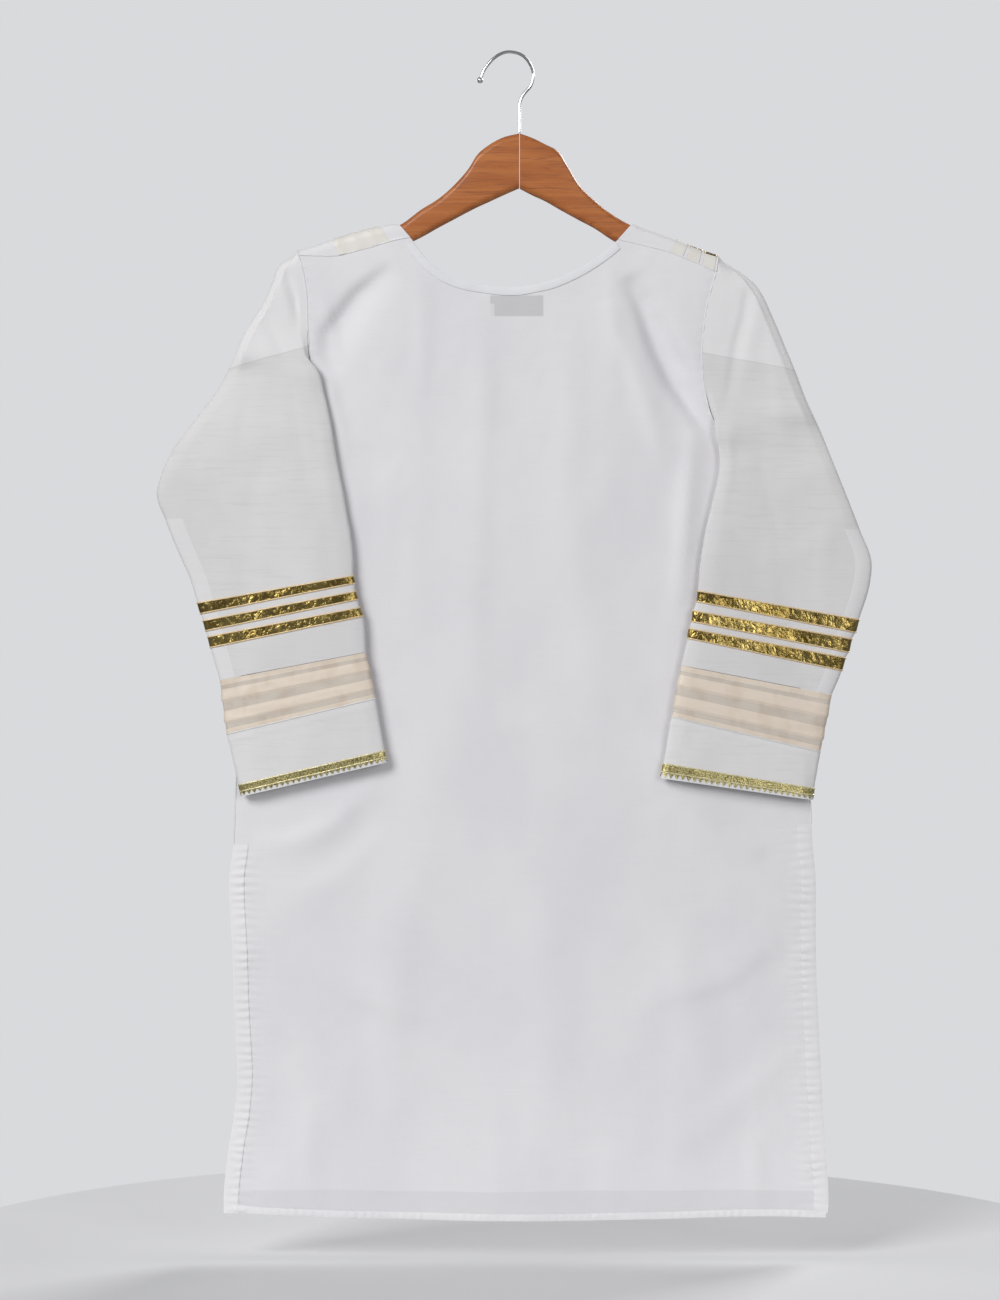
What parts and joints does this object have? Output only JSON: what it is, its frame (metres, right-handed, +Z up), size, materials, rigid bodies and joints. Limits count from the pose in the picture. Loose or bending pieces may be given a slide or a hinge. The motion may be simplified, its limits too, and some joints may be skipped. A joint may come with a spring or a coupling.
{
  "type": "kurta tunic on a wooden hanger",
  "caption": "Long white kurta tunic with sheer sleeves, gold ribbon trims and side slits, hanging from a wooden hanger.",
  "frame": {"origin": "inner top of the hanger's hook, where a rail or peg carries it", "axes": "+Z up, the garment's back faces -Y and its front +Y, +X to the right as the back is seen"},
  "size_m": [0.6874, 0.0414, 1.125],
  "materials": {
    "white_cotton": "matte",
    "sheer_cotton": "matte",
    "lining": "matte",
    "cream_organza": "satin",
    "gold_trim": "metallic thread",
    "label_cloth": "matte",
    "hanger_wood": "satin varnish",
    "chrome_wire": "polished"
  },
  "bodies": {
    "root": {"back": "white_cotton", "body_lining": "lining", "cap_lining_left": "lining", "cap_lining_right": "lining", "cuff_lace_left": "gold_trim", "cuff_lace_right": "gold_trim", "cuff_left": "sheer_cotton", "cuff_right": "sheer_cotton", "front": "white_cotton", "front_insertion": "cream_organza", "front_ribbon_1": "gold_trim", "front_ribbon_2": "gold_trim", "front_ribbon_3": "gold_trim", "hanger_left": "hanger_wood", "hanger_right": "hanger_wood", "hook": "chrome_wire", "hook_tip": "chrome_wire", "insertion_left": "cream_organza", "insertion_right": "cream_organza", "label": "label_cloth", "neck_binding_back": "lining", "neck_binding_front": "lining", "sleeve_left": "sheer_cotton", "sleeve_ribbon_left_1": "gold_trim", "sleeve_ribbon_left_2": "gold_trim", "sleeve_ribbon_left_3": "gold_trim", "sleeve_ribbon_right_1": "gold_trim", "sleeve_ribbon_right_2": "gold_trim", "sleeve_ribbon_right_3": "gold_trim", "sleeve_right": "sheer_cotton"}
  },
  "joints": []
}
